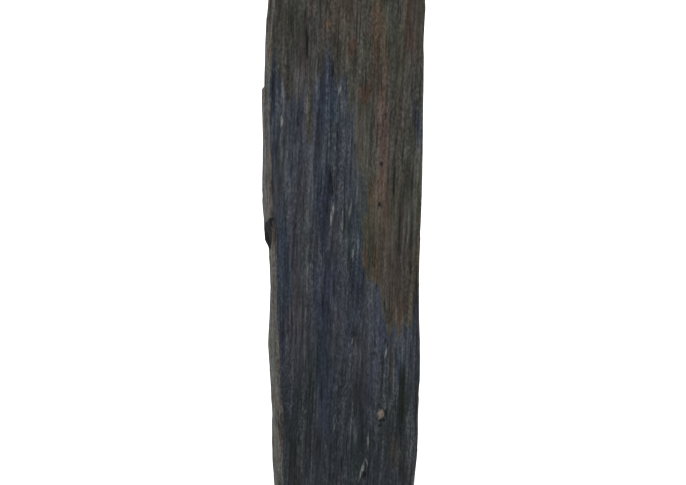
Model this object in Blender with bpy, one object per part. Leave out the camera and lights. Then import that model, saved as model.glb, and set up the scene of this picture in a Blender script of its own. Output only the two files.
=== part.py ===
"""Slate slab: one upright block of fibrous blue-grey slate, with a sawn flat foot and a broken top.

Units are metres, +Z is up. The main cleavage face looks along -Y and the split sides along -X and +X.
The origin is the middle of the underside, in the plane of the sawn foot.

The skin of a box is cut into cells, and every point of it is carried to the stone's surface: across in
proportion between the left and right outlines, and through in proportion between the two cleavage faces.
"""

import bpy
import numpy as np

HEIGHT = 1.000  # from the sawn foot to the highest splinter of the broken top
WIDTH = 0.210  # usual width between the split sides
THICKNESS = 0.088  # between the outermost layers of the two cleavage faces
MIDDLE_X = 0.0046  # the outlines below are given from a line this far left of the middle of the box

CELLS_ACROSS, CELLS_THROUGH, CELLS_UP = 56, 24, 200  # lattice on the skin before it is simplified
KEPT_FACETS = 0.125  # share of the lattice's facets that the simplified stone keeps

# Outlines as (height, x) points: the corner edges of the left side, and those of the right side.
LEFT_FRONT = (
    (0.000, -0.0915), (0.149, -0.0918), (0.208, -0.0927), (0.250, -0.0943), (0.300, -0.0957),
    (0.370, -0.0961), (0.430, -0.0982), (0.500, -0.0986), (0.555, -0.0980), (0.636, -0.1010),
    (0.706, -0.1043), (0.757, -0.1043), (0.791, -0.1020), (0.830, -0.0990), (1.000, -0.0970),
)
LEFT_BACK = (
    (0.000, -0.0945), (0.105, -0.0962), (0.137, -0.0992), (0.166, -0.0999), (0.235, -0.0992),
    (0.285, -0.1012), (0.339, -0.1046), (0.428, -0.0987), (0.495, -0.1022), (0.560, -0.1043),
    (0.640, -0.1028), (0.741, -0.1034), (0.800, -0.1012), (0.861, -0.0948), (1.000, -0.0940),
)
RIGHT_FRONT = (
    (0.000, 0.1062), (0.133, 0.1096), (0.179, 0.1139), (0.257, 0.1156), (0.334, 0.1169),
    (0.422, 0.1132), (0.500, 0.1127), (0.560, 0.1151), (0.639, 0.1162), (0.740, 0.1152),
    (0.811, 0.1135), (0.866, 0.1154), (1.000, 0.1134),
)
RIGHT_BACK = (
    (0.000, 0.1014), (0.140, 0.1089), (0.300, 0.1124), (0.450, 0.1074), (0.620, 0.1129),
    (0.800, 0.1094), (1.000, 0.1119),
)
OUTLINE_PROUD = 0.0050  # the outlines stand this far out, because the layers on the sides only cut inward

# The lath: a raised strip of the left side, stepped off at its upper end and bitten off at its lower end.
LATH_RAISE_TOP, LATH_RAISE_FOOT = 0.0034, 0.0055
LATH_TOP_FRONT, LATH_TOP_BACK = 0.7175, 0.738
LATH_FOOT_FRONT, LATH_FOOT_BACK = 0.552, 0.500
LATH_STEP = 0.0035  # height over which the lath's upper step rises
LATH_TAPER = 0.017  # height over which its bitten foot falls away
BITE = (0.514, 0.018, 0.024, 0.030, 0.0060)  # height, y, half height, half depth along y, how deep

# Ledges, strips and layers: width and length of one patch of the seeded relief, and how deep it cuts.
BROAD = (0.070, 0.380, 0.0026)
LEDGE = (0.017, 0.420, 0.0058)
LEDGE_TREADS = 4  # flat treads between the outermost layer and the deepest one
STRIP = (0.0095, 0.220, 0.0021)
LAYER = (0.0105, 0.420, 0.0046)
LAYER_TREADS = 3
BREAK = (0.026, 0.060, 0.0030)
RISER = 0.22  # share of each tread that is its steep edge
SNAP = 0.05  # share of a strip's length over which it breaks off
SLANT = 0.20  # how far, in lengths, a break runs up or down from one edge of its strip to the other
WANDER = (0.060, 0.300, 0.006)  # patch size over which the fibres lean to one side, and by how much

# Marks on the main face: x as in the outlines, height, half width, half height, how far out (+) or in (-).
KNOT = (0.0570, 0.2505, 0.0075, 0.0100, 0.0046)
KNOT_CREASE = (0.0590, 0.2390, 0.0080, 0.0050, -0.0030)
GROOVE = (-0.0160, 0.6130, 0.0055, 0.0460, -0.0042)
LEFT_FIN = (-0.0155, 0.5640, 0.0050, 0.0330, 0.0036)
MIDDLE_FIN = (-0.0010, 0.5560, 0.0050, 0.0400, 0.0036)
UPPER_PIT = (0.0565, 0.6340, 0.0045, 0.0060, -0.0036)
LOWER_PIT = (0.0535, 0.5740, 0.0050, 0.0070, -0.0036)
FOOT_CURL = (0.0305, 0.1630, 0.0065, 0.0140, 0.0032)
FOOT_CURL_CRACK = (0.0340, 0.1510, 0.0055, 0.0120, -0.0036)
FACE_MARKS = (
    KNOT, KNOT_CREASE, GROOVE, LEFT_FIN, MIDDLE_FIN, UPPER_PIT, LOWER_PIT, FOOT_CURL, FOOT_CURL_CRACK,
)

# Corner edges: usual radius, what uneven wear adds, and two long chips given as height, reach, radius.
EDGE_RADIUS, EDGE_WEAR = 0.0020, 0.0040
EDGE_PATCH = 0.050
FRONT_LEFT_CHIP = (0.890, 0.062, 0.0090)
FRONT_RIGHT_CHIP = (0.330, 0.130, 0.0060)

# Broken top: every layer ends along a ragged line of its own, and all of them fall away to the right.
TOP_STARTS = 0.870  # below this height nothing is moved up or down
TOP_FALL = 0.038
TOP_LAYER = 0.0090  # thickness of one layer where it shows in the break
TOP_WAVE = (0.080, 0.088, 0.80)  # how far, in layers, the layers' steps wander
BROKEN = (0.060, 3.0, 0.050)  # width of one slope, how many layers it runs through, how far it can drop
RAGGED = (0.014, 1.0, 0.007)  # the same for the splinters on it
TOP_PEAK = 0.014  # drop that the highest splinters are spared, which leaves them at the full height

NUMBERS = 64  # side of a table of random numbers


def ease(share):
    """Eases from 0 to 1: three times the square less twice the cube of the share."""
    share = np.clip(share, 0.0, 1.0)
    return share * share * (3.0 - 2.0 * share)


def curve(points, height):
    """Cubic through (height, x) points, whose slope at each point is taken from its two neighbours."""
    heights, places = np.array(points).T
    slopes = np.gradient(places, heights)
    low = np.clip(np.searchsorted(heights, height) - 1, 0, len(heights) - 2)
    span = heights[low + 1] - heights[low]
    t = np.clip((height - heights[low]) / span, 0.0, 1.0)
    rise = t * t * (3.0 - 2.0 * t)
    bulge = t * (1.0 - t) * (slopes[low] * (1.0 - t) - slopes[low + 1] * t) * span
    return places[low] * (1.0 - rise) + places[low + 1] * rise + bulge


def patches(across, along, patch, seed):
    """Uneven patches from 0 to 1: seeded random numbers one patch apart, and straight slopes in between."""
    table = np.random.default_rng(seed).random((NUMBERS, NUMBERS))
    across, along = across / patch[0] + seed, along / patch[1] + seed
    i, j = np.floor(across).astype(int), np.floor(along).astype(int)
    s, t = across - i, along - j
    near = table[i % NUMBERS, j % NUMBERS] * (1 - s) + table[(i + 1) % NUMBERS, j % NUMBERS] * s
    far = (table[i % NUMBERS, (j + 1) % NUMBERS] * (1 - s)
           + table[(i + 1) % NUMBERS, (j + 1) % NUMBERS] * s)
    return near * (1 - t) + far * t


def strips(across, along, patch, seed):
    """Strips of fibre from 0 to 1: each deepens slowly along its length, then ends in a short break."""
    table = np.random.default_rng(seed).random((NUMBERS, NUMBERS))
    place = across / patch[0] + seed
    number = np.floor(place).astype(int)

    def strip(n):
        lean = SLANT * (2.0 * table[n % NUMBERS, 2] - 1.0) * (place - n)
        run = along / (patch[1] * (0.6 + 0.8 * table[n % NUMBERS, 0])) + seed + table[n % NUMBERS, 1] + lean
        part = run - np.floor(run)
        depth = table[n % NUMBERS, np.floor(run).astype(int) % NUMBERS]
        return depth * np.minimum(1.0 - part, part / SNAP)

    beside = ease((place - number - 1.0 + RISER) / RISER)
    return strip(number) * (1.0 - beside) + strip(number + 1) * beside


def stepped(relief, treads):
    """Turns a smooth relief from 0 to 1 into flat treads, each with a steep edge up to the next one."""
    whole = np.floor(relief * treads)
    return (whole + ease((relief * treads - whole - 1.0 + RISER) / RISER)) / treads


def mound(across, along, mark):
    """Round mound: the square of one less the squared distance from its middle, times its height."""
    distance = ((across - mark[0]) / mark[2]) ** 2 + ((along - mark[1]) / mark[3]) ** 2
    return mark[4] * np.clip(1.0 - distance, 0.0, 1.0) ** 2


def face_depth(x, z, seed):
    """How far a cleavage face is cut in: a slow bow, ledges where layers came off, strips of fibre."""
    lean = WANDER[2] * (patches(x, z, WANDER, seed) - 0.5)
    bow = BROAD[2] * patches(x, z, BROAD, seed + 1)
    ledges = LEDGE[2] * stepped(patches(x + lean, z, LEDGE, seed + 2), LEDGE_TREADS)
    return bow + ledges + STRIP[2] * strips(x + lean, z, STRIP, seed + 3)


def side_depth(y, z, seed):
    """How far a split side is cut in: the ends of the layers, and a few broken patches."""
    layers = LAYER[2] * stepped(patches(y, z, LAYER, seed), LAYER_TREADS)
    breaks = BREAK[2] * patches(y, z, BREAK, seed + 1)
    return layers + breaks


def lath(y, z):
    """How far the raised lath stands out: nothing at its upper front corner, most at its slanted foot."""
    back = y / THICKNESS + 0.5
    foot = LATH_FOOT_FRONT + (LATH_FOOT_BACK - LATH_FOOT_FRONT) * back
    top = LATH_TOP_FRONT + (LATH_TOP_BACK - LATH_TOP_FRONT) * back
    down = np.clip((top - z) / (top - foot), 0.0, 1.0)
    top_raise = LATH_RAISE_TOP * ease(2.0 * back)
    raise_by = top_raise + (LATH_RAISE_FOOT - top_raise) * down
    return raise_by * ease((top - z) / LATH_STEP) * ease((z - foot) / LATH_TAPER + 0.5)


def bite(y, z):
    """The hollow bitten out under the lath, round and deepest in its middle."""
    height, middle, half_height, half_depth, depth = BITE
    return mound(y, z, (middle, height, half_depth, half_height, depth))


def left_side(y, z):
    """X of the left side: front and back edges mixed by depth, cut by layers, with the lath and bite."""
    back = np.clip(y / THICKNESS + 0.5, 0.0, 1.0)
    outline = curve(LEFT_FRONT, z) * (1.0 - back) + curve(LEFT_BACK, z) * back
    return outline - OUTLINE_PROUD + side_depth(y, z, 11) - lath(y, z) + bite(y, z)


def right_side(y, z):
    """X of the right side: front and back edges mixed by depth, cut by layers."""
    back = np.clip(y / THICKNESS + 0.5, 0.0, 1.0)
    outline = curve(RIGHT_FRONT, z) * (1.0 - back) + curve(RIGHT_BACK, z) * back
    return outline + OUTLINE_PROUD - side_depth(y, z, 17)


def front_face(x, place, z):
    """Y of the main face, with the knot, fins, grooves and pits that lie around this place on it."""
    return -THICKNESS / 2 + face_depth(x, z, 23) - sum(mound(place, z, mark) for mark in FACE_MARKS)


def back_face(x, z):
    """Y of the face at the back."""
    return THICKNESS / 2 - face_depth(x, z, 31)


def top_height(x, y):
    """Height of the break: it falls to the right, steps from layer to layer, and is splintered."""
    layer = stepped(y / TOP_LAYER + TOP_WAVE[2] * patches(x, y, TOP_WAVE, 40), 1)
    steps = BROKEN[2] * patches(x, layer, BROKEN, 41)
    splinters = RAGGED[2] * patches(x, layer, RAGGED, 42)
    return HEIGHT - np.clip(TOP_FALL * (x / WIDTH + 0.5) + steps + splinters - TOP_PEAK, 0.0, None)


def edge_radius(x, y, z):
    """Radius of the nearest upright corner edge, worn unevenly up its height, with two long chips."""
    corner = 2 * (x > 0) + (y > 0)
    radius = EDGE_RADIUS + EDGE_WEAR * patches(corner * 10 * EDGE_PATCH, z, (EDGE_PATCH, EDGE_PATCH), 47)
    for number, (height, reach, chip) in ((0, FRONT_LEFT_CHIP), (2, FRONT_RIGHT_CHIP)):
        worn = chip * ease(1.5 * (1.0 - np.abs(z - height) / reach))
        radius = np.where(corner == number, radius + worn, radius)
    return radius


def rounded(x, y, z):
    """Rounds the plan's corners: in each corner's square, nested squares become nested quarter circles."""
    radius = edge_radius(x, y, z)
    inner_x = np.clip(x, radius - WIDTH / 2, WIDTH / 2 - radius)
    inner_y = np.clip(y, radius - THICKNESS / 2, THICKNESS / 2 - radius)
    over_x, over_y = x - inner_x, y - inner_y
    square = np.maximum(np.abs(over_x), np.abs(over_y))
    circle = np.maximum(np.hypot(over_x, over_y), 1e-9)
    return inner_x + over_x * square / circle, inner_y + over_y * square / circle


def stone(across, through, up):
    """Carries points of the unit box, given as shares from 0 to 1, to the surface of the stone."""
    x, y = (across - 0.5) * WIDTH, (through - 0.5) * THICKNESS
    z = up * HEIGHT
    top = top_height(x, y)
    above = TOP_STARTS + (z - TOP_STARTS) * (top - TOP_STARTS) / (HEIGHT - TOP_STARTS)
    z = np.where(z > TOP_STARTS, above, z)
    round_x, round_y = rounded(x, y, z)
    left, right = left_side(y, z), right_side(y, z)
    place = left + (right - left) * (round_x / WIDTH + 0.5)
    front, back = front_face(x, place, z), back_face(x, z)
    return np.stack((place - MIDDLE_X, front + (back - front) * (round_y / THICKNESS + 0.5), z), axis=-1)


def box_skin(nx, ny, nz):
    """Points of a box's skin as shares from 0 to 1, its outward faces, and the ring around its foot.

    The underside is one flat face with no points inside it, as a saw leaves it.
    """
    i, j, k = np.meshgrid(np.arange(nx + 1), np.arange(ny + 1), np.arange(nz + 1), indexing="ij")
    walls = (i == 0) | (i == nx) | (j == 0) | (j == ny)
    outer = walls | (k == nz)
    number = np.full(outer.shape, -1)
    number[outer] = np.arange(np.count_nonzero(outer))
    grids = (number[:, 0, :], number[::-1, -1, :], number[0, ::-1, :], number[-1, :, :], number[:, :, -1])
    faces = [
        face
        for grid in grids
        for face in np.stack(
            (grid[:-1, :-1], grid[1:, :-1], grid[1:, 1:], grid[:-1, 1:]), -1).reshape(-1, 4).tolist()
    ]
    low = number[:, :, 0]
    ring = np.concatenate((low[0, :-1], low[:-1, -1], low[-1, :0:-1], low[:0:-1, 0])).tolist()
    faces.append(ring)
    return np.stack((i / nx, j / ny, k / nz), axis=-1)[outer], faces, ring


def slate():
    """Dark blue-grey slate, split and left rough."""
    material = bpy.data.materials.new("split slate")
    material.use_nodes = True
    shader = material.node_tree.nodes["Principled BSDF"]
    shader.inputs["Base Color"].default_value = (0.045, 0.050, 0.060, 1.0)
    shader.inputs["Roughness"].default_value = 0.75
    shader.inputs["Metallic"].default_value = 0.0
    return material


def slab():
    """The stone: its lattice carried to the surface, then simplified except around the flat foot."""
    shares, faces, ring = box_skin(CELLS_ACROSS, CELLS_THROUGH, CELLS_UP)
    mesh = bpy.data.meshes.new("slab")
    mesh.from_pydata(stone(*shares.T).tolist(), [], faces)
    mesh.materials.append(slate())
    thing = bpy.data.objects.new("slab", mesh)
    bpy.context.collection.objects.link(thing)
    above = thing.vertex_groups.new(name="above the foot")
    above.add(sorted(set(range(len(shares))) - set(ring)), 1.0, "REPLACE")
    fewer = thing.modifiers.new("fewer facets", "DECIMATE")
    fewer.ratio = KEPT_FACETS
    fewer.vertex_group = above.name
    return thing


for old in list(bpy.data.objects):
    bpy.data.objects.remove(old)
slab()
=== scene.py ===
import math

import bpy
import numpy as np
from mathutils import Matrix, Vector


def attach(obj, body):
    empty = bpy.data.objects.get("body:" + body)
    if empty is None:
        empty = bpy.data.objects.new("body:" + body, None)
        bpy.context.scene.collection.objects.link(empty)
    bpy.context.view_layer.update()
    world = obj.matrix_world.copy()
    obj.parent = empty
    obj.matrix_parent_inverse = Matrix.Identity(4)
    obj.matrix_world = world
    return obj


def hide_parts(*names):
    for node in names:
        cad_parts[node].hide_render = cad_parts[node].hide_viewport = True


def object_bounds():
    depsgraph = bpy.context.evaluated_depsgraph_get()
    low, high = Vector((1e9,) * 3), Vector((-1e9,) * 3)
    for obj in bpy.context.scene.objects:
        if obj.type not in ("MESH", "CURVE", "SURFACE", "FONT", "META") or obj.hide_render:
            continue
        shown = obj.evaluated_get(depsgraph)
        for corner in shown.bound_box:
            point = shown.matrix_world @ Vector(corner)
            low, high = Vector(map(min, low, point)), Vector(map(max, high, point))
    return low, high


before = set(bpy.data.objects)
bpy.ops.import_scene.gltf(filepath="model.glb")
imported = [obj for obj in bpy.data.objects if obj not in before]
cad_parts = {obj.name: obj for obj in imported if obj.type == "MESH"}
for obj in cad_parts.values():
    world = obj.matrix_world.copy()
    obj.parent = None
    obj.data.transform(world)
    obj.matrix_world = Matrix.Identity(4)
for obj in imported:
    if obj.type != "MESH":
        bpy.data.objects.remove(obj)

CAD_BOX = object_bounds()

# The stone's form, in metres: the same values and formulas as its solid has, worked out on a finer lattice.
HEIGHT = 1.000  # from the sawn foot to the highest splinter of the broken top
WIDTH = 0.210  # usual width between the split sides
THICKNESS = 0.088  # between the outermost layers of the two cleavage faces
MIDDLE_X = 0.0046  # the outlines below are given from a line this far left of the middle of the box
CELLS_ACROSS, CELLS_THROUGH, CELLS_UP = 130, 46, 255  # of the lattice, each about 2 by 2 by 4 mm

# Outlines as (height, x) points: the corner edges of the left side, and those of the right side.
LEFT_FRONT = (
    (0.000, -0.0915), (0.149, -0.0918), (0.208, -0.0927), (0.250, -0.0943), (0.300, -0.0957),
    (0.370, -0.0961), (0.430, -0.0982), (0.500, -0.0986), (0.555, -0.0980), (0.636, -0.1010),
    (0.706, -0.1043), (0.757, -0.1043), (0.791, -0.1020), (0.830, -0.0990), (1.000, -0.0970),
)
LEFT_BACK = (
    (0.000, -0.0945), (0.105, -0.0962), (0.137, -0.0992), (0.166, -0.0999), (0.235, -0.0992),
    (0.285, -0.1012), (0.339, -0.1046), (0.428, -0.0987), (0.495, -0.1022), (0.560, -0.1043),
    (0.640, -0.1028), (0.741, -0.1034), (0.800, -0.1012), (0.861, -0.0948), (1.000, -0.0940),
)
RIGHT_FRONT = (
    (0.000, 0.1062), (0.133, 0.1096), (0.179, 0.1139), (0.257, 0.1156), (0.334, 0.1169),
    (0.422, 0.1132), (0.500, 0.1127), (0.560, 0.1151), (0.639, 0.1162), (0.740, 0.1152),
    (0.811, 0.1135), (0.866, 0.1154), (1.000, 0.1134),
)
RIGHT_BACK = (
    (0.000, 0.1014), (0.140, 0.1089), (0.300, 0.1124), (0.450, 0.1074), (0.620, 0.1129),
    (0.800, 0.1094), (1.000, 0.1119),
)
OUTLINE_PROUD = 0.0050  # the outlines stand this far out, because the layers on the sides only cut inward

# The lath: a raised strip of the left side, stepped off at its upper end and bitten off at its lower end.
LATH_RAISE_TOP, LATH_RAISE_FOOT = 0.0034, 0.0055
LATH_TOP_FRONT, LATH_TOP_BACK = 0.7175, 0.738
LATH_FOOT_FRONT, LATH_FOOT_BACK = 0.552, 0.500
LATH_STEP = 0.0035  # height over which the lath's upper step rises
LATH_TAPER = 0.017  # height over which its bitten foot falls away
BITE = (0.514, 0.018, 0.024, 0.030, 0.0060)  # height, y, half height, half depth along y, how deep

# Ledges, strips and layers: width and length of one patch of the seeded relief, and how deep it cuts.
BROAD = (0.070, 0.380, 0.0026)
LEDGE = (0.017, 0.420, 0.0058)
LEDGE_TREADS = 4  # flat treads between the outermost layer and the deepest one
STRIP = (0.0095, 0.220, 0.0021)
LAYER = (0.0105, 0.420, 0.0046)
LAYER_TREADS = 3
BREAK = (0.026, 0.060, 0.0030)
RISER = 0.22  # share of each tread that is its steep edge
SNAP = 0.05  # share of a strip's length over which it breaks off
SLANT = 0.20  # how far, in lengths, a break runs up or down from one edge of its strip to the other
STRIP_LENGTHS = (0.6, 0.8)  # length of the shortest strip in patches, and what chance adds to the others
WANDER = (0.060, 0.300, 0.006)  # patch size over which the fibres lean to one side, and by how much

# Finer relief that only this surface has: width and length of one fibre or one grain, how deep it cuts, and
# the share of that depth by which the relief stands out, which leaves its middle near the solid's surface.
FIBRE = (0.0042, 0.070, 0.0009, 0.15)
GRIT = (0.0034, 0.012, 0.0004, 0.25)

# Marks on the main face: x as in the outlines, height, half width, half height, how far out (+) or in (-).
KNOT = (0.0570, 0.2505, 0.0075, 0.0100, 0.0046)
KNOT_CREASE = (0.0590, 0.2390, 0.0080, 0.0050, -0.0030)
GROOVE = (-0.0160, 0.6130, 0.0055, 0.0460, -0.0042)
LEFT_FIN = (-0.0155, 0.5640, 0.0050, 0.0330, 0.0036)
MIDDLE_FIN = (-0.0010, 0.5560, 0.0050, 0.0400, 0.0036)
UPPER_PIT = (0.0565, 0.6340, 0.0045, 0.0060, -0.0036)
LOWER_PIT = (0.0535, 0.5740, 0.0050, 0.0070, -0.0036)
FOOT_CURL = (0.0305, 0.1630, 0.0065, 0.0140, 0.0032)
FOOT_CURL_CRACK = (0.0340, 0.1510, 0.0055, 0.0120, -0.0036)
FACE_MARKS = (
    KNOT, KNOT_CREASE, GROOVE, LEFT_FIN, MIDDLE_FIN, UPPER_PIT, LOWER_PIT, FOOT_CURL, FOOT_CURL_CRACK,
)

# Corner edges: usual radius, what uneven wear adds, and two long chips given as height, reach, radius.
EDGE_RADIUS, EDGE_WEAR = 0.0020, 0.0040
EDGE_PATCH = 0.050
CORNERS_APART = 10  # patches between the wear of one corner and that of the next, so that no two are alike
FRONT_LEFT_CHIP = (0.890, 0.062, 0.0090)
FRONT_RIGHT_CHIP = (0.330, 0.130, 0.0060)
CHIP_STEEP = 1.5  # leaves a chip at its full radius over the middle third of its reach

# Broken top: every layer ends along a ragged line of its own, and all of them fall away to the right.
TOP_STARTS = 0.870  # below this height nothing is moved up or down
TOP_FALL = 0.038
TOP_LAYER = 0.0090  # thickness of one layer where it shows in the break
TOP_WAVE = (0.080, 0.088, 0.80)  # how far, in layers, the layers' steps wander
BROKEN = (0.060, 3.0, 0.050)  # width of one slope, how many layers it runs through, how far it can drop
RAGGED = (0.014, 1.0, 0.007)  # the same for the splinters on it
TOP_PEAK = 0.014  # drop that the highest splinters are spared, which leaves them at the full height
SPLINTERS = (0.0050, 0.0040, 0.0050)  # broken ends of single fibres, which only this surface has

NUMBERS = 64  # side of a table of random numbers, which each call draws from a seed of its own


def ease(share):
    """Eases from 0 to 1: three times the square less twice the cube of the share."""
    share = np.clip(share, 0.0, 1.0)
    return share * share * (3.0 - 2.0 * share)


def curve(points, height):
    """Cubic through (height, x) points, whose slope at each point is taken from its two neighbours."""
    heights, places = np.array(points).T
    slopes = np.gradient(places, heights)
    low = np.clip(np.searchsorted(heights, height) - 1, 0, len(heights) - 2)
    span = heights[low + 1] - heights[low]
    t = np.clip((height - heights[low]) / span, 0.0, 1.0)
    rise = t * t * (3.0 - 2.0 * t)
    bulge = t * (1.0 - t) * (slopes[low] * (1.0 - t) - slopes[low + 1] * t) * span
    return places[low] * (1.0 - rise) + places[low + 1] * rise + bulge


def patches(across, along, patch, seed):
    """Uneven patches from 0 to 1: seeded random numbers one patch apart, and straight slopes in between."""
    table = np.random.default_rng(seed).random((NUMBERS, NUMBERS))
    across, along = across / patch[0] + seed, along / patch[1] + seed
    i, j = np.floor(across).astype(int), np.floor(along).astype(int)
    s, t = across - i, along - j
    near = table[i % NUMBERS, j % NUMBERS] * (1 - s) + table[(i + 1) % NUMBERS, j % NUMBERS] * s
    far = table[i % NUMBERS, (j + 1) % NUMBERS] * (1 - s) + table[(i + 1) % NUMBERS, (j + 1) % NUMBERS] * s
    return near * (1 - t) + far * t


def strips(across, along, patch, seed):
    """Strips of fibre from 0 to 1: each deepens slowly along its length, then ends in a short break."""
    table = np.random.default_rng(seed).random((NUMBERS, NUMBERS))
    place = across / patch[0] + seed
    number = np.floor(place).astype(int)

    def strip(n):
        lean = SLANT * (2.0 * table[n % NUMBERS, 2] - 1.0) * (place - n)
        length = patch[1] * (STRIP_LENGTHS[0] + STRIP_LENGTHS[1] * table[n % NUMBERS, 0])
        run = along / length + seed + table[n % NUMBERS, 1] + lean
        part = run - np.floor(run)
        depth = table[n % NUMBERS, np.floor(run).astype(int) % NUMBERS]
        return depth * np.minimum(1.0 - part, part / SNAP)

    beside = ease((place - number - 1.0 + RISER) / RISER)
    return strip(number) * (1.0 - beside) + strip(number + 1) * beside


def stepped(relief, treads):
    """Turns a smooth relief from 0 to 1 into flat treads, each with a steep edge up to the next one."""
    whole = np.floor(relief * treads)
    return (whole + ease((relief * treads - whole - 1.0 + RISER) / RISER)) / treads


def mound(across, along, mark):
    """Round mound: the square of one less the squared distance from its middle, times its height."""
    distance = ((across - mark[0]) / mark[2]) ** 2 + ((along - mark[1]) / mark[3]) ** 2
    return mark[4] * np.clip(1.0 - distance, 0.0, 1.0) ** 2


def fine_depth(across, z, seed):
    """How far the fine fibres and the grit between them cut in, around the solid's own surface."""
    fibres = FIBRE[2] * (strips(across, z, FIBRE, seed) - FIBRE[3])
    return fibres + GRIT[2] * (patches(across, z, GRIT, seed + 1) - GRIT[3])


def face_depth(x, z, seed):
    """How far a cleavage face is cut in: a slow bow, ledges where layers came off, strips of fibre."""
    lean = WANDER[2] * (patches(x, z, WANDER, seed) - 0.5)
    bow = BROAD[2] * patches(x, z, BROAD, seed + 1)
    x = x + lean
    ledges = LEDGE[2] * stepped(patches(x, z, LEDGE, seed + 2), LEDGE_TREADS)
    return bow + ledges + STRIP[2] * strips(x, z, STRIP, seed + 3) + fine_depth(x, z, seed + 4)


def side_depth(y, z, seed):
    """How far a split side is cut in: the ends of the layers, and a few broken patches."""
    layers = LAYER[2] * stepped(patches(y, z, LAYER, seed), LAYER_TREADS)
    breaks = BREAK[2] * patches(y, z, BREAK, seed + 1)
    return layers + breaks + fine_depth(y, z, seed + 2)


def lath(y, z):
    """How far the raised lath stands out: nothing at its upper front corner, most at its slanted foot."""
    back = y / THICKNESS + 0.5
    foot = LATH_FOOT_FRONT + (LATH_FOOT_BACK - LATH_FOOT_FRONT) * back
    top = LATH_TOP_FRONT + (LATH_TOP_BACK - LATH_TOP_FRONT) * back
    down = np.clip((top - z) / (top - foot), 0.0, 1.0)
    top_raise = LATH_RAISE_TOP * ease(2.0 * back)
    raise_by = top_raise + (LATH_RAISE_FOOT - top_raise) * down
    return raise_by * ease((top - z) / LATH_STEP) * ease((z - foot) / LATH_TAPER + 0.5)


def bite(y, z):
    """The hollow bitten out under the lath, round and deepest in its middle."""
    height, middle, half_height, half_depth, depth = BITE
    return mound(y, z, (middle, height, half_depth, half_height, depth))


def left_side(y, z):
    """X of the left side: front and back edges mixed by depth, cut by layers, with the lath and bite."""
    back = np.clip(y / THICKNESS + 0.5, 0.0, 1.0)
    outline = curve(LEFT_FRONT, z) * (1.0 - back) + curve(LEFT_BACK, z) * back
    return outline - OUTLINE_PROUD + side_depth(y, z, 11) - lath(y, z) + bite(y, z)


def right_side(y, z):
    """X of the right side: front and back edges mixed by depth, cut by layers."""
    back = np.clip(y / THICKNESS + 0.5, 0.0, 1.0)
    outline = curve(RIGHT_FRONT, z) * (1.0 - back) + curve(RIGHT_BACK, z) * back
    return outline + OUTLINE_PROUD - side_depth(y, z, 17)


def front_face(x, place, z):
    """Y of the main face, with the knot, fins, grooves and pits that lie around this place on it."""
    return -THICKNESS / 2 + face_depth(x, z, 23) - sum(mound(place, z, mark) for mark in FACE_MARKS)


def back_face(x, z):
    """Y of the face at the back."""
    return THICKNESS / 2 - face_depth(x, z, 31)


def top_height(x, y):
    """Height of the break: it falls to the right, steps from layer to layer, and is splintered."""
    layer = stepped(y / TOP_LAYER + TOP_WAVE[2] * patches(x, y, TOP_WAVE, 40), 1)
    steps = BROKEN[2] * patches(x, layer, BROKEN, 41)
    splinters = RAGGED[2] * patches(x, layer, RAGGED, 42)
    splinters = splinters + SPLINTERS[2] * (patches(x, y, SPLINTERS, 43) - 0.5)
    return HEIGHT - np.clip(TOP_FALL * (x / WIDTH + 0.5) + steps + splinters - TOP_PEAK, 0.0, None)


def edge_radius(x, y, z):
    """Radius of the nearest upright corner edge, worn unevenly up its height, with two long chips."""
    corner = 2 * (x > 0) + (y > 0)
    wear = patches(corner * CORNERS_APART * EDGE_PATCH, z, (EDGE_PATCH, EDGE_PATCH), 47)
    radius = EDGE_RADIUS + EDGE_WEAR * wear
    for number, (height, reach, chip) in ((0, FRONT_LEFT_CHIP), (2, FRONT_RIGHT_CHIP)):
        worn = chip * ease(CHIP_STEEP * (1.0 - np.abs(z - height) / reach))
        radius = np.where(corner == number, radius + worn, radius)
    return radius


def rounded(x, y, z):
    """Rounds the plan's corners: in each corner's square, nested squares become nested quarter circles."""
    radius = edge_radius(x, y, z)
    inner_x = np.clip(x, radius - WIDTH / 2, WIDTH / 2 - radius)
    inner_y = np.clip(y, radius - THICKNESS / 2, THICKNESS / 2 - radius)
    over_x, over_y = x - inner_x, y - inner_y
    square = np.maximum(np.abs(over_x), np.abs(over_y))
    circle = np.maximum(np.hypot(over_x, over_y), 1e-9)
    return inner_x + over_x * square / circle, inner_y + over_y * square / circle


def stone(across, through, up):
    """Carries points of the unit box, given as shares from 0 to 1, to the surface of the stone."""
    x, y = (across - 0.5) * WIDTH, (through - 0.5) * THICKNESS
    z = up * HEIGHT
    top = top_height(x, y)
    above = TOP_STARTS + (z - TOP_STARTS) * (top - TOP_STARTS) / (HEIGHT - TOP_STARTS)
    z = np.where(z > TOP_STARTS, above, z)
    round_x, round_y = rounded(x, y, z)
    left, right = left_side(y, z), right_side(y, z)
    place = left + (right - left) * (round_x / WIDTH + 0.5)
    front, back = front_face(x, place, z), back_face(x, z)
    return np.stack((place - MIDDLE_X, front + (back - front) * (round_y / THICKNESS + 0.5), z), axis=-1)


def box_skin(nx, ny, nz):
    """Points of a box's skin as shares from 0 to 1, and its outward faces: five grids, a flat underside."""
    i, j, k = np.meshgrid(np.arange(nx + 1), np.arange(ny + 1), np.arange(nz + 1), indexing="ij")
    outer = (i == 0) | (i == nx) | (j == 0) | (j == ny) | (k == nz)
    number = np.full(outer.shape, -1)
    number[outer] = np.arange(np.count_nonzero(outer))
    walls = (number[:, 0, :], number[::-1, -1, :], number[0, ::-1, :], number[-1, :, :])
    faces = []
    for grid in (*walls, number[:, :, -1]):
        corners = (grid[:-1, :-1], grid[1:, :-1], grid[1:, 1:], grid[:-1, 1:])
        faces += np.stack(corners, axis=-1).reshape(-1, 4).tolist()
    low = number[:, :, 0]
    faces.append(np.concatenate((low[0, :-1], low[:-1, -1], low[-1, :0:-1], low[:0:-1, 0])).tolist())
    return np.stack((i / nx, j / ny, k / nz), axis=-1)[outer], faces


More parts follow.
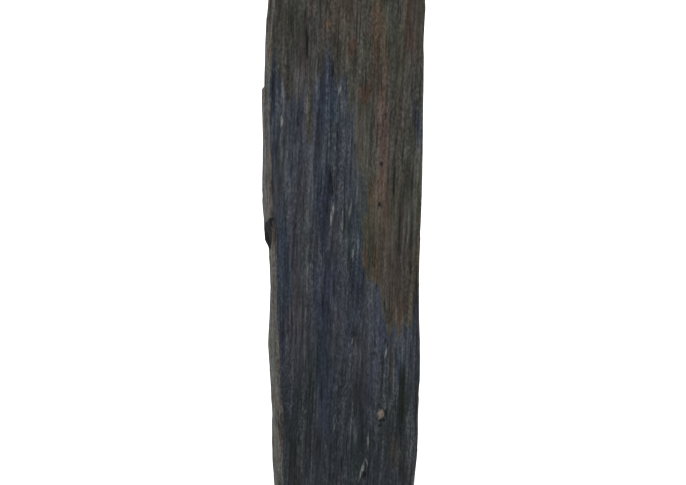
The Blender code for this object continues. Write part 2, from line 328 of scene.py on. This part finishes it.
def hollows(places, edges, normals, rounds):
    """How far each point lies below the mean of its neighbours, smoothed over this many rounds."""
    ends = np.concatenate((edges, edges[:, ::-1]))
    count = np.bincount(ends[:, 0], minlength=len(places))[:, None]

    def mean(values):
        total = [np.bincount(ends[:, 0], v[ends[:, 1]], len(places)) for v in values.T]
        return np.stack(total, axis=-1) / count

    smooth = places
    for _ in range(rounds):
        smooth = mean(smooth)
    return np.einsum("ij,ij->i", smooth - places, normals)


def linear(colour):
    """Turns an sRGB hex colour into linear red, green, blue and alpha."""
    parts = [int(colour[i:i + 2], 16) / 255 for i in (1, 3, 5)]
    return [p / 12.92 if p <= 0.04045 else ((p + 0.055) / 1.055) ** 2.4 for p in parts] + [1.0]


def add(tree, kind, inputs=(), output=0, **settings):
    """Adds a node with settings and inputs, each a value or the socket feeding it, and gives one output."""
    node = tree.nodes.new(kind)
    for name, value in settings.items():
        setattr(node, name, value)
    for socket, value in dict(inputs).items():
        if isinstance(value, bpy.types.NodeSocket):
            tree.links.new(value, node.inputs[socket])
        else:
            node.inputs[socket].default_value = value
    return node.outputs[output]


# Sizes of the slate's own pattern in metres, as (width, length) of one streak along the fibre.
CRUMB = (0.0026, 0.0050)  # broken ends of single fibres, drawn as wide as the photo's scale can show them
FIBRE_STREAK = (0.0030, 0.0240)
THREAD = (0.0046, 0.1600)
COLUMN = (0.0130, 0.3000)
FISSURE = (0.0024, 0.0600)
HUE = (0.0280, 0.1700)  # columns in which the slate turns a little bluer, greener or redder
STAIN = (0.0050, 0.1300)  # columns in which one colour ends higher or lower than in the next
BLOTCHES = (0.0120, 0.0400)  # earth that stains the split sides
BROKEN_LAYERS = (0.0065, 0.0055)  # grain of the split sides, where the layers end one behind another

LEAN = (0.060, 0.300, 0.010)  # width and length over which the fibres lean, and how far
SLOPE = 0.04  # how far all of them lean to the right, in metres for each metre of height
PARTS = (0.32, 0.46, 0.22)  # how much of the relief is single fibres, long threads and broad columns
CONTRAST = 1.15  # how strongly the relief lightens and darkens the slate
DARKENING = 2.2  # power that spreads the light fibres and keeps the dark ones close together
HUE_SHIFT = (0.50, 0.16, 0.50)  # how far red, green and blue drift from column to column
DEEP = (0.0030, 0.8)  # height of the relief in the bump, in metres, and its strength

# How one value becomes another: its low and high end, and what these become, which is 0 and 1 if not said.
FISSURE_LIGHT = (0.68, 0.78, 1.0, 0.5)  # the highest noise opens a fissure, with half the light in it
SIDE_EDGE = (0.35, 0.65)
BLOTCH_EDGE = (0.50, 0.70)
LAYER_LIGHT = (0.30, 0.70, 0.58, 1.38)  # a layer's end lies in its neighbour's shade, or stands out of it
BARE = (1.0, 2.2, 0.0, 0.6)  # the lightest fibres lose most of their stain
ROUGHNESS = (0.0, 1.0, 0.80, 1.0)  # split slate is dull, and its fresh break has no sheen at all
SHEEN = 0.12  # specular level: the dust of the split surface leaves little of the mineral's own sheen

# Colours of the slate, each laid over the ones before it: clean it is blue-grey, and iron stains it brown.
BLUE = "#272a30"
ZONES = (
    ("low", "#1d2125"),
    ("olive", "#2b2a26"),
    ("rust", "#302f29"),
    ("navy", "#1e232c"),
    ("rusty", "#372d25"),
    # dark teal of a band near the right edge, darker than the slate's own as painted shade in a groove
    ("green", "#1a201f"),
)
ZONE_BORDER = (1.1, 0.20)  # how far the stain's columns tear a zone's border, and half its soft width
SIDE, BLOTCH = "#3c3c39", "#382f28"  # the split sides, and the earth that stains them in blotches
PALEST = "#353535"  # grey to which the lightest fibres turn, because their broken ends are bare of stain
# The last two marks are near-black: on the lath's broken foot, newly broken slate and painted shade under
# it; in hollows, cracks and creases, painted shade.
MARKS = (("pale", "#545653"), ("knotty", "#4e4640"), ("fresh_and_shaded", "#0d0c10"), ("shaded_hollow", "#0b0b0c"))
MARK_BORDER = (0.8, 0.25)  # the same for a mark's border, torn by the single fibres


def split_slate():
    """Slate split along its fibre: dull, dark and streaked, as each fibre ends in its own small break."""
    material = bpy.data.materials.new("split_slate")
    material.use_nodes = True
    tree = material.node_tree
    shader = tree.nodes["Principled BSDF"]
    place = add(tree, "ShaderNodeTexCoord", output="Object")

    def streaks(where, size, shift, detail=1.0):
        """Noise around one half, drawn out to streaks of this width and length; the shift sets it apart."""
        scale = (1 / size[0], 1 / size[0], 1 / size[1])
        drawn = add(tree, "ShaderNodeMapping", {"Vector": where, "Location": (shift,) * 3, "Scale": scale})
        return add(tree, "ShaderNodeTexNoise", {"Vector": drawn, "Scale": 1.0, "Detail": detail})

    def stained(colour, name, paint, pattern, border):
        """Paint laid over the colour by the share of this zone, whose border a pattern tears in and out."""
        tear, soft = border
        middle = 0.5 * tear + 0.5
        share = add(tree, "ShaderNodeAttribute", output="Fac", attribute_name=name)
        share = add(tree, "ShaderNodeMath", {0: pattern, 1: tear, 2: share}, operation="MULTIPLY_ADD")
        share = add(tree, "ShaderNodeMapRange", {0: share, 1: middle - soft, 2: middle + soft})
        return add(tree, "ShaderNodeMix", {0: share, 6: colour, 7: linear(paint)}, 2, data_type="RGBA")

    # Places along the fibre, which leans a little here and there.
    wander = streaks(place, LEAN[:2], 3.0, 0.0).node.outputs["Color"]
    wander = add(tree, "ShaderNodeVectorMath", {0: wander, 1: (0.5, 0.5, 0.5)}, operation="SUBTRACT")
    lean = (LEAN[2], LEAN[2], 0.0)
    turned = add(tree, "ShaderNodeMapping", {"Vector": place, "Rotation": (0.0, -SLOPE, 0.0)})
    along = add(tree, "ShaderNodeVectorMath", {0: wander, 1: lean, 2: turned}, operation="MULTIPLY_ADD")

    # Relief too fine for the mesh, and the light and shade that it gives the stone.
    fibre, crumb = streaks(along, FIBRE_STREAK, 1.0), streaks(along, CRUMB, 7.0)
    relief = 0.0
    for pattern, part in zip((fibre, streaks(along, THREAD, 5.0), streaks(along, COLUMN, 9.0)), PARTS):
        relief = add(tree, "ShaderNodeMath", {0: pattern, 1: part, 2: relief}, operation="MULTIPLY_ADD")
    crumbly = add(tree, "ShaderNodeAttribute", output="Fac", attribute_name="crumbly")
    relief = add(tree, "ShaderNodeMix", {0: crumbly, 2: relief, 3: crumb})
    lighter = add(tree, "ShaderNodeAttribute", output="Fac", attribute_name="lighter")
    relief = add(tree, "ShaderNodeMath", {0: relief, 1: lighter})
    fissure = streaks(along, FISSURE, 21.0, 0.0)
    fissure = add(tree, "ShaderNodeMapRange", enumerate((fissure, *FISSURE_LIGHT)))
    deep = add(tree, "ShaderNodeMath", {0: relief, 1: fissure}, operation="MULTIPLY")
    light = {0: relief, 1: 2.0 * CONTRAST, 2: 1.0 - CONTRAST}
    shade = add(tree, "ShaderNodeMath", light, operation="MULTIPLY_ADD")
    shade = add(tree, "ShaderNodeMath", {0: shade, 1: DARKENING}, operation="POWER")
    shade = add(tree, "ShaderNodeMath", {0: shade, 1: fissure}, operation="MULTIPLY")

    # Colours of the faces, and over them the split sides with their blotches of earth. Of a Mix node's
    # sockets, 6 takes the colour below and 7 the one laid over it, and output 2 gives the result.
    stain = streaks(along, STAIN, 17.0)
    colour = linear(BLUE)
    for name, paint in ZONES:
        colour = stained(colour, name, paint, stain, ZONE_BORDER)
    blotches = add(tree, "ShaderNodeMapRange", enumerate((streaks(along, BLOTCHES, 25.0), *BLOTCH_EDGE)))
    sides = {0: blotches, 6: linear(SIDE), 7: linear(BLOTCH)}
    sides = add(tree, "ShaderNodeMix", sides, 2, data_type="RGBA")
    layers = streaks(place, BROKEN_LAYERS, 29.0, 2.0)
    layers = add(tree, "ShaderNodeMapRange", enumerate((layers, *LAYER_LIGHT)))
    sides = add(tree, "ShaderNodeVectorMath", {0: sides, 3: layers}, operation="SCALE")
    edge = add(tree, "ShaderNodeAttribute", output="Fac", attribute_name="side")
    edge = add(tree, "ShaderNodeMapRange", enumerate((edge, *SIDE_EDGE)))
    colour = add(tree, "ShaderNodeMix", {0: edge, 6: colour, 7: sides}, 2, data_type="RGBA")

    # Drift of the hue, bare ends of fibres, small marks with the painted shade among them, and the shade
    # over all of it.
    hue = streaks(along, HUE, 13.0, 0.5).node.outputs["Color"]
    middle = tuple(1.0 - shift / 2 for shift in HUE_SHIFT)
    tint = add(tree, "ShaderNodeVectorMath", {0: hue, 1: HUE_SHIFT, 2: middle}, operation="MULTIPLY_ADD")
    colour = add(tree, "ShaderNodeVectorMath", {0: colour, 1: tint}, operation="MULTIPLY")
    bare = add(tree, "ShaderNodeMapRange", enumerate((shade, *BARE)))
    colour = add(tree, "ShaderNodeMix", {0: bare, 6: colour, 7: linear(PALEST)}, 2, data_type="RGBA")
    for name, paint in MARKS:
        colour = stained(colour, name, paint, crumb if name == "knotty" else fibre, MARK_BORDER)
    colour = add(tree, "ShaderNodeVectorMath", {0: colour, 3: shade}, operation="SCALE")
    tree.links.new(colour, shader.inputs["Base Color"])

    bump = add(tree, "ShaderNodeBump", {"Height": deep, "Distance": DEEP[0], "Strength": DEEP[1]})
    tree.links.new(bump, shader.inputs["Normal"])
    fresh_and_shaded = add(tree, "ShaderNodeAttribute", output="Fac", attribute_name="fresh_and_shaded")
    rough = add(tree, "ShaderNodeMapRange", enumerate((fresh_and_shaded, *ROUGHNESS)))
    tree.links.new(rough, shader.inputs["Roughness"])
    shader.inputs["Specular IOR Level"].default_value = SHEEN
    return material


# Zones of colour, in metres. The rust-brown zone lies right of this line, given as (height, x) points.
RUST_LINE = (
    (0.366, 0.1500), (0.374, 0.0971), (0.381, 0.0674), (0.398, 0.0598), (0.429, 0.0567), (0.440, 0.0448),
    (0.459, 0.0381), (0.487, 0.0328), (0.520, 0.0276), (0.553, 0.0282), (0.571, 0.0346), (0.615, 0.0323),
    (0.639, 0.0221), (0.680, 0.0134), (0.726, 0.0063), (0.782, 0.0006), (0.825, 0.0048), (0.850, -0.0200),
    (1.000, -0.0500),
)
RUST_SOFT = ((0.55, 0.66), (0.014, 0.030))  # between these heights, its soft border widens by this much
OLIVE_FROM, OLIVE_TO = 0.715, 0.795  # height over which the face turns from blue-grey to olive grey
LOW_FROM, LOW_TO = 0.460, 0.200  # height over which it turns darker toward the foot
RUSTY_IN_RUST, RUSTY_IN_OLIVE = 0.16, 0.05  # how much of the reddish stain both zones have all over

# Tears in the zones' borders, across the fibre and along it: width and length of one tear, how far it goes.
TEAR_ACROSS = (0.0040, 0.0800, 0.0060)
TEAR_ALONG = (0.0060, 0.5000, 0.0500)

# The back: rust in broad patches of this width and length, and olive that grows with the height.
BACK_RUST = (0.110, 0.420)
BACK_RUST_STEEP, BACK_RUST_LESS = 3.0, 1.2  # how steeply a patch turns to rust, and what is taken off it
BACK_OLIVE_FROM = 0.3  # height from which the olive grows

# Everywhere: fibres that crumble in patches of this width and length, and hollows darkened with painted
# shade.
CRUMBLY = (0.0160, 0.0700)
CRUMBLY_LEAST, CRUMBLY_MORE = 0.16, 0.30  # share of crumbs between the patches, and what a patch adds
HOLLOW_ROUNDS = 3  # rounds of smoothing against which a point counts as hollow
HOLLOW_DARK, HOLLOW_DEPTH = 0.7, 0.0012  # share of painted shade in hollows at full depth, and that depth

# Bands beside the corner edges: the split side's own colour, and the navy that lines the left edge.
SIDE_REACH = 0.0016
NAVY_EDGE_REACH, NAVY_EDGE_SOFT, NAVY_EDGE = 0.014, 0.011, 0.6  # how wide, how much is soft, how strong

# The lath's foot is broken off, and black is painted below a slanted line given by its height in front and
# at the back, and behind a splintered line given as (height, y) points: newly broken slate, and painted
# shade under the foot.
SNAPPED_FRONT, SNAPPED_BACK = 0.5635, 0.5290
BREAK_LINE = (
    (0.488, 0.0440), (0.494, 0.0200), (0.500, 0.0040), (0.505, -0.0100), (0.515, -0.0160), (0.526, -0.0175),
    (0.534, -0.0210), (0.542, -0.0290), (0.550, -0.0370), (0.558, -0.0430),
)
BREAK_TEAR = (0.0030, 0.0100, 0.0090)  # width and length of the splinters along that line, how far they go
BREAK_SOFT = 0.004  # width of both soft borders
FRESH_REACH = 0.003  # how far the painted black reaches round onto the face

# Patches and marks on the main face: x, height, half width, half height, slant, and how strong.
NAVY = (
    (-0.0210, 0.745, 0.0225, 0.100, 0.00, 0.85), (-0.0950, 0.724, 0.0140, 0.110, 0.00, 1.00),
    (0.1090, 0.698, 0.0200, 0.060, 0.00, 0.60), (-0.0030, 0.660, 0.0100, 0.110, 0.00, 0.70),
    (-0.0270, 0.572, 0.0245, 0.092, 0.00, 1.00), (-0.0840, 0.484, 0.0150, 0.160, 0.00, 1.00),
    (0.0200, 0.474, 0.0190, 0.130, 0.00, 1.00), (-0.0290, 0.446, 0.0300, 0.106, 0.00, 1.00),
    (0.0420, 0.388, 0.0210, 0.052, 0.00, 0.40), (0.1120, 0.388, 0.0120, 0.088, 0.00, 1.10),
    (0.0830, 0.326, 0.0250, 0.060, 0.00, 0.70), (-0.0250, 0.280, 0.0265, 0.170, 0.00, 1.00),
)
RUSTY = (
    (-0.0420, 0.870, 0.0090, 0.030, 0.00, 0.50), (0.0890, 0.840, 0.0090, 0.056, 0.00, 0.40),
    (-0.0220, 0.828, 0.0140, 0.012, 0.00, 1.00), (0.0500, 0.824, 0.0135, 0.052, 0.00, 0.75),
    (0.0970, 0.798, 0.0090, 0.018, 0.00, 1.10), (0.0130, 0.792, 0.0100, 0.020, 0.00, 0.90),
    (0.0330, 0.736, 0.0140, 0.024, 0.00, 1.00), (0.0560, 0.706, 0.0155, 0.224, 0.00, 0.60),
    (0.0410, 0.584, 0.0130, 0.052, 0.00, 0.40), (0.0310, 0.498, 0.0090, 0.032, 0.00, 0.90),
    (0.0500, 0.454, 0.0200, 0.060, 0.00, 0.50), (0.0870, 0.404, 0.0220, 0.040, 0.00, 0.55),
    (0.0740, 0.324, 0.0075, 0.070, 0.00, 0.60),
)
OLIVE = (
    (-0.0720, 0.754, 0.0180, 0.046, 0.00, 0.80), (-0.0500, 0.710, 0.0100, 0.090, 0.00, 1.00),
    (-0.0640, 0.700, 0.0160, 0.100, 0.00, 0.40), (0.0210, 0.642, 0.0130, 0.096, 0.04, 0.75),
    (0.0780, 0.180, 0.0160, 0.060, 0.00, 0.60), (0.1000, 0.150, 0.0120, 0.040, 0.00, 0.50),
)
# A dark teal band near the right edge: the slate's green, made darker as the painted shade in a narrow
# upright groove.
GREEN = (
    (0.0920, 0.268, 0.0125, 0.068, 0.00, 1.10), (0.0900, 0.170, 0.0110, 0.060, 0.00, 0.60),
)
# Dark lines of painted shade: in cracks and creases, under and beside the knot, and along the right corner
# edge where it turns from the light.
SHADED_CRACKS = (
    (-0.0720, 0.836, 0.0025, 0.032, 0.00, 0.80), (-0.0285, 0.836, 0.0020, 0.032, 0.00, 0.50),
    (-0.0610, 0.824, 0.0020, 0.036, 0.00, 0.50), (0.0165, 0.824, 0.0020, 0.042, 0.00, 0.60),
    (0.0360, 0.818, 0.0020, 0.048, 0.00, 0.50), (-0.0495, 0.808, 0.0025, 0.034, 0.00, 1.10),
    (0.0015, 0.800, 0.0020, 0.040, 0.00, 0.50), (-0.0140, 0.768, 0.0030, 0.024, 0.00, 0.90),
    (0.0495, 0.748, 0.0020, 0.036, 0.00, 0.50), (0.0895, 0.700, 0.0020, 0.048, 0.00, 0.60),
    (0.0840, 0.682, 0.0015, 0.052, 0.00, 0.50), (-0.0340, 0.664, 0.0025, 0.068, 0.02, 0.60),
    (0.0755, 0.610, 0.0025, 0.084, 0.00, 0.70), (-0.0225, 0.570, 0.0035, 0.032, 0.08, 0.30),
    (0.1095, 0.456, 0.0020, 0.064, 0.00, 0.80), (0.0040, 0.434, 0.0020, 0.052, 0.02, 0.60),
    (0.0695, 0.430, 0.0020, 0.056, 0.00, 0.50), (0.0620, 0.424, 0.0025, 0.032, 0.02, 0.60),
    (-0.0600, 0.380, 0.0020, 0.048, 0.02, 0.50), (0.0640, 0.366, 0.0025, 0.008, 0.00, 0.90),
    (0.0480, 0.364, 0.0020, 0.064, 0.00, 0.60), (-0.0455, 0.266, 0.0020, 0.060, 0.00, 0.50),
    (0.0655, 0.250, 0.0025, 0.012, -0.10, 0.90), (0.1115, 0.246, 0.0025, 0.056, 0.00, 0.70),
    (-0.0980, 0.236, 0.0045, 0.009, 0.00, 0.80), (0.0575, 0.232, 0.0055, 0.004, 0.00, 0.90),
    (-0.0015, 0.168, 0.0025, 0.024, 0.00, 1.00),
)
PALE = (
    (-0.0045, 0.742, 0.0045, 0.012, 0.10, 0.70), (-0.0875, 0.700, 0.0020, 0.016, 0.00, 1.30),
    (0.0105, 0.564, 0.0045, 0.028, 0.12, 0.50), (-0.0155, 0.560, 0.0050, 0.036, 0.15, 0.65),
    (-0.0005, 0.548, 0.0040, 0.052, 0.03, 0.58), (0.0140, 0.502, 0.0035, 0.016, 0.10, 0.60),
    (-0.0475, 0.486, 0.0020, 0.020, 0.05, 0.50), (0.0140, 0.368, 0.0030, 0.012, 0.20, 0.80),
    (0.0645, 0.346, 0.0025, 0.014, 0.20, 1.10), (-0.0220, 0.290, 0.0025, 0.010, 0.10, 0.50),
    (-0.0835, 0.266, 0.0020, 0.012, 0.10, 0.40), (0.0190, 0.244, 0.0025, 0.012, 0.20, 0.50),
    (-0.0120, 0.232, 0.0020, 0.012, 0.10, 0.70), (0.0615, 0.204, 0.0025, 0.010, 0.10, 0.50),
    (0.0390, 0.202, 0.0025, 0.028, 0.00, 0.50), (-0.0265, 0.200, 0.0025, 0.012, 0.10, 0.50),
    (0.0265, 0.188, 0.0025, 0.010, 0.10, 0.50), (0.0370, 0.172, 0.0025, 0.016, -0.20, 0.60),
    (0.0290, 0.158, 0.0040, 0.028, 0.25, 0.90),
)
SPLIT = ((-0.0930, 0.240, 0.0070, 0.060, 0.00, 1.30),)  # where the left side's colour spills onto the face
KNOTS = ((0.0570, 0.250, 0.0090, 0.014, 0.10, 1.00),)  # brown rind of the knot

# Columns in which the slate is lighter (+) or darker (-) than around them, given in the same way. Some dark
# ones are painted shade, as said beside them.
SHADES = (
    (-0.1000, 0.866, 0.0100, 0.036, 0.00, -0.15), (-0.0520, 0.860, 0.0120, 0.030, 0.00, 0.08),
    (-0.0840, 0.850, 0.0090, 0.060, 0.00, -0.10), (0.0070, 0.844, 0.0090, 0.050, 0.00, -0.10),
    (0.0630, 0.840, 0.0090, 0.050, 0.00, 0.09), (-0.0030, 0.830, 0.0090, 0.034, 0.00, 0.13),
    (-0.0380, 0.816, 0.0100, 0.060, 0.00, 0.07), (0.0910, 0.812, 0.0120, 0.050, 0.00, -0.07),
    (0.0180, 0.770, 0.0080, 0.040, 0.00, -0.10), (-0.0580, 0.756, 0.0140, 0.036, 0.00, 0.10),
    (-0.0650, 0.748, 0.0115, 0.048, 0.00, 0.10), (-0.0390, 0.748, 0.0080, 0.040, 0.00, 0.08),
    (-0.1000, 0.746, 0.0085, 0.040, 0.00, -0.08), (0.0310, 0.734, 0.0120, 0.056, 0.00, -0.10),
    (-0.0010, 0.726, 0.0130, 0.060, 0.00, 0.08), (-0.0840, 0.724, 0.0100, 0.036, 0.00, 0.10),
    (-0.0500, 0.712, 0.0080, 0.040, 0.00, 0.09), (0.0520, 0.700, 0.0080, 0.030, 0.00, 0.09),
    (0.0880, 0.700, 0.0105, 0.076, 0.00, -0.05), (-0.0350, 0.664, 0.0085, 0.092, 0.03, -0.05),
    (-0.0860, 0.660, 0.0100, 0.124, 0.00, 0.11), (-0.0930, 0.656, 0.0080, 0.044, 0.00, -0.06),
    (0.0040, 0.654, 0.0100, 0.050, 0.00, 0.13), (0.0420, 0.624, 0.0380, 0.104, 0.02, 0.02),
    (-0.0510, 0.610, 0.0105, 0.100, 0.02, 0.12), (0.0080, 0.602, 0.0085, 0.034, 0.00, -0.06),
    (-0.1030, 0.600, 0.0060, 0.030, 0.00, -0.20), (0.0990, 0.590, 0.0090, 0.060, 0.00, -0.09),
    (-0.0240, 0.572, 0.0160, 0.064, 0.08, -0.07), (-0.0180, 0.550, 0.0080, 0.044, 0.00, 0.09),
    # The first row below is painted shade on the left edge beside the lath's bitten foot.
    (-0.1010, 0.532, 0.0080, 0.044, 0.00, -0.15), (0.0060, 0.530, 0.0090, 0.030, 0.00, -0.12),
    (0.0180, 0.500, 0.0090, 0.050, 0.00, 0.13), (-0.0290, 0.480, 0.0090, 0.060, 0.00, 0.10),
    (0.0420, 0.480, 0.0100, 0.050, 0.00, -0.12), (-0.0050, 0.456, 0.0100, 0.076, 0.00, -0.10),
    (-0.0520, 0.450, 0.0080, 0.040, 0.00, 0.08), (0.0250, 0.424, 0.0140, 0.084, 0.04, -0.06),
    (0.0670, 0.412, 0.0080, 0.024, 0.00, -0.09), (-0.0870, 0.400, 0.0090, 0.040, 0.00, -0.08),
    (-0.0180, 0.390, 0.0090, 0.040, 0.00, -0.10), (0.0180, 0.364, 0.0190, 0.026, 0.00, -0.13),
    (0.0900, 0.360, 0.0100, 0.056, 0.00, 0.11), (0.0570, 0.352, 0.0285, 0.080, 0.00, 0.03),
    (-0.0340, 0.350, 0.0280, 0.070, 0.03, -0.04), (0.0900, 0.330, 0.0080, 0.026, 0.00, 0.09),
    (0.0650, 0.316, 0.0105, 0.040, 0.10, 0.05), (-0.0980, 0.280, 0.0140, 0.150, 0.00, -0.05),
    (0.0790, 0.280, 0.0080, 0.044, 0.00, 0.11), (0.0670, 0.260, 0.0100, 0.036, 0.00, 0.12),
    (-0.0920, 0.250, 0.0100, 0.036, 0.00, -0.12), (0.0410, 0.244, 0.0120, 0.040, 0.00, 0.04),
    # The first row below darkens the teal band near the right edge with painted shade.
    (0.0900, 0.242, 0.0110, 0.100, 0.00, -0.12), (0.0270, 0.236, 0.0130, 0.146, 0.00, -0.07),
    (0.0200, 0.230, 0.0120, 0.050, 0.00, 0.08), (0.0200, 0.224, 0.0100, 0.030, 0.00, 0.08),
    (0.0430, 0.224, 0.0080, 0.030, 0.00, 0.12), (-0.0380, 0.214, 0.0160, 0.060, 0.00, -0.11),
    (0.1030, 0.200, 0.0090, 0.080, 0.00, 0.12), (-0.0840, 0.192, 0.0230, 0.104, 0.00, -0.03),
    (-0.0180, 0.190, 0.0090, 0.030, 0.00, -0.09), (0.0910, 0.144, 0.0100, 0.030, 0.00, -0.14),
    (-0.0960, 0.140, 0.0100, 0.040, 0.00, -0.20),
)


def marks(x, z, rows):
    """How strong these marks are: round mounds, slanted across by this much for each metre of height."""
    return sum(
        mound(x - slant * (z - height), z, (middle, height, half_width, half_height, strength))
        for middle, height, half_width, half_height, slant, strength in rows
    )


def fresh_break_and_shade(y, z):
    """Share of black on the left side, newly broken slate and painted shade under the lath: one below the
    slanted line and behind the splintered one.
    """
    snapped = SNAPPED_FRONT + (SNAPPED_BACK - SNAPPED_FRONT) * (y / THICKNESS + 0.5)
    heights, depths = np.array(BREAK_LINE).T
    splintered = z + BREAK_TEAR[2] * (patches(y, z, BREAK_TEAR, 58) - 0.5)
    behind = ease((y - np.interp(splintered, heights, depths)) / BREAK_SOFT + 0.5)
    return ease((snapped - z) / BREAK_SOFT) * behind


def colour_shares(wall, front, places, shaded_hollow):
    """How strong each zone and mark is at these places: 0 outside, and 1 or more where nothing tears it."""
    x, y, z = places.T
    x = x + MIDDLE_X
    torn_x = x + TEAR_ACROSS[2] * (patches(x, z, TEAR_ACROSS, 53) - 0.5)
    torn_z = z + TEAR_ALONG[2] * (patches(x, z, TEAR_ALONG, 54) - 0.5)
    heights, line = np.array(RUST_LINE).T
    rust = ease((torn_x - np.interp(torn_z, heights, line)) / np.interp(z, *RUST_SOFT) + 0.5)
    back_rust = ease(BACK_RUST_STEEP * patches(x, z, BACK_RUST, 51) - BACK_RUST_LESS)
    rust = np.where(front, rust, back_rust)
    # Black on the lath's broken foot: newly broken dark slate, and painted shade under the foot.
    fresh_and_shaded = fresh_break_and_shade(y, z) * (1.0 - ease(wall / FRESH_REACH)) * (x < 0.0)
    olive_marks = marks(torn_x, torn_z, OLIVE)
    olive = ease((torn_z - OLIVE_FROM) / (OLIVE_TO - OLIVE_FROM)) + olive_marks
    olive = np.where(front, olive, ease(z - BACK_OLIVE_FROM))
    navy = marks(torn_x, torn_z, NAVY) * front - olive_marks
    left_edge = (x < 0.0) * front * ease((NAVY_EDGE_REACH - wall) / NAVY_EDGE_SOFT)
    rusty = marks(torn_x, torn_z, RUSTY) * front
    return {
        "side": 1.0 - np.clip(wall / SIDE_REACH, 0.0, 1.0) + marks(x, z, SPLIT) * front,
        "olive": olive,
        "rust": rust,
        "low": ease((LOW_FROM - z) / (LOW_FROM - LOW_TO)),
        "navy": navy + NAVY_EDGE * left_edge * (1.0 - olive),
        "rusty": rusty + RUSTY_IN_RUST * rust + RUSTY_IN_OLIVE * olive,
        "green": marks(torn_x, torn_z, GREEN) * front,
        "crumbly": CRUMBLY_LEAST + CRUMBLY_MORE * patches(x, z, CRUMBLY, 55),
        "fresh_and_shaded": fresh_and_shaded,
        "pale": marks(x, z, PALE) * front,
        "knotty": marks(x, z, KNOTS) * front,
        "lighter": marks(torn_x, torn_z, SHADES) * front,
        # Painted shade, the deeper a point lies in a hollow of the mesh, and along the dark lines of cracks
        # and creases.
        "shaded_hollow": HOLLOW_DARK * np.clip(shaded_hollow / HOLLOW_DEPTH, 0.0, 1.0) + marks(x, z, SHADED_CRACKS) * front,
    }


def slate_slab():
    """The stone on its fine lattice, kept inside the solid's box, with the shares its colours follow."""
    shares, faces = box_skin(CELLS_ACROSS, CELLS_THROUGH, CELLS_UP)
    across, through, up = shares.T
    places = np.clip(stone(across, through, up), *np.array(CAD_BOX))
    mesh = bpy.data.meshes.new("slate_slab")
    mesh.from_pydata(places.tolist(), [], faces)
    mesh.shade_smooth()
    edges = np.empty(len(mesh.edges) * 2, dtype=np.int32)
    mesh.edges.foreach_get("vertices", edges)
    normals = np.empty(len(mesh.vertices) * 3, dtype=np.float32)
    mesh.vertices.foreach_get("normal", normals)
    shaded_hollow = hollows(places, edges.reshape(-1, 2), normals.reshape(-1, 3), HOLLOW_ROUNDS)
    wall = np.minimum(across, 1.0 - across) * WIDTH
    for name, values in colour_shares(wall, through < 0.5, places, shaded_hollow).items():
        painted = mesh.attributes.new(name, "FLOAT", "POINT")
        painted.data.foreach_set("value", values.astype(np.float32))
    mesh.materials.append(split_slate())
    slab = bpy.data.objects.new("slate_slab", mesh)
    bpy.context.collection.objects.link(slab)
    return slab


FLOOR_RADIUS = 20.0
FLOOR_POINTS = 64
FLOOR_COLOUR, FLOOR_ROUGHNESS = "#f4f4f4", 0.9
FLOOR_GLOW = 0.25  # lifts the shade that the stone throws, so that only the shade at its foot is left


def studio_floor():
    """A wide floor of matt white paint, which mirrors nothing: points around a circle, joined in a face."""
    mesh = bpy.data.meshes.new("floor")
    turn = np.linspace(0.0, 2.0 * np.pi, FLOOR_POINTS, endpoint=False)
    ring = FLOOR_RADIUS * np.stack((np.cos(turn), np.sin(turn), 0.0 * turn), axis=-1)
    mesh.from_pydata(ring.tolist(), [], [list(range(FLOOR_POINTS))])
    floor = bpy.data.objects.new("floor", mesh)
    bpy.context.collection.objects.link(floor)
    material = bpy.data.materials.new("matt_white_floor")
    material.use_nodes = True
    shader = material.node_tree.nodes["Principled BSDF"]
    shader.inputs["Base Color"].default_value = linear(FLOOR_COLOUR)
    shader.inputs["Roughness"].default_value = FLOOR_ROUGHNESS
    shader.inputs["Specular IOR Level"].default_value = 0.0
    shader.inputs["Emission Color"].default_value = linear("#ffffff")
    shader.inputs["Emission Strength"].default_value = FLOOR_GLOW
    mesh.materials.append(material)
    return floor


LIGHT_AZIMUTH, LIGHT_ELEVATION = -52.0, 42.0  # degrees
LIGHT_POWER, LIGHT_SPREAD = 2.4, 12.0  # strength, and the width in degrees that softens its shadow's edge


def toward(azimuth, elevation):
    """Unit vector in this direction, in degrees: azimuth 0 is in front of the main face, 90 right of it."""
    a, e = math.radians(azimuth), math.radians(elevation)
    return Vector((math.sin(a) * math.cos(e), -math.cos(a) * math.cos(e), math.sin(e)))


def studio():
    """White surroundings, and one soft light from the upper left."""
    world = bpy.data.worlds.new("white")
    bpy.context.scene.world = world
    world.use_nodes = True
    surroundings = world.node_tree.nodes["Background"]
    surroundings.inputs["Color"].default_value = linear("#ffffff")
    surroundings.inputs["Strength"].default_value = 1.0
    light = bpy.data.lights.new("key", "SUN")
    light.energy, light.angle = LIGHT_POWER, math.radians(LIGHT_SPREAD)
    lamp = bpy.data.objects.new("key", light)
    bpy.context.collection.objects.link(lamp)
    lamp.rotation_euler = toward(LIGHT_AZIMUTH, LIGHT_ELEVATION).to_track_quat("Z", "Y").to_euler()
    bpy.context.scene.view_settings.view_transform = "Standard"


CAMERA_AZIMUTH, CAMERA_ELEVATION, CAMERA_DISTANCE = -7.5, 15.0, 2.0  # degrees, degrees and metres
CAMERA_AIM = (-MIDDLE_X, -0.044, 0.520)  # middle of the main face, at the height of the photo's middle
CAMERA_LENS = 72.38  # millimetres


def camera():
    """The photograph's camera: a little left of the main face, looking down at the upright stone."""
    away = toward(CAMERA_AZIMUTH, CAMERA_ELEVATION)
    lens = bpy.data.cameras.new("camera")
    lens.lens = CAMERA_LENS
    eye = bpy.data.objects.new("camera", lens)
    bpy.context.collection.objects.link(eye)
    eye.location = Vector(CAMERA_AIM) + away * CAMERA_DISTANCE
    eye.rotation_euler = away.to_track_quat("Z", "Y").to_euler()
    bpy.context.scene.camera = eye


slab = slate_slab()
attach(slab, "root")
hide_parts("slab")
studio_floor()
studio()
camera()
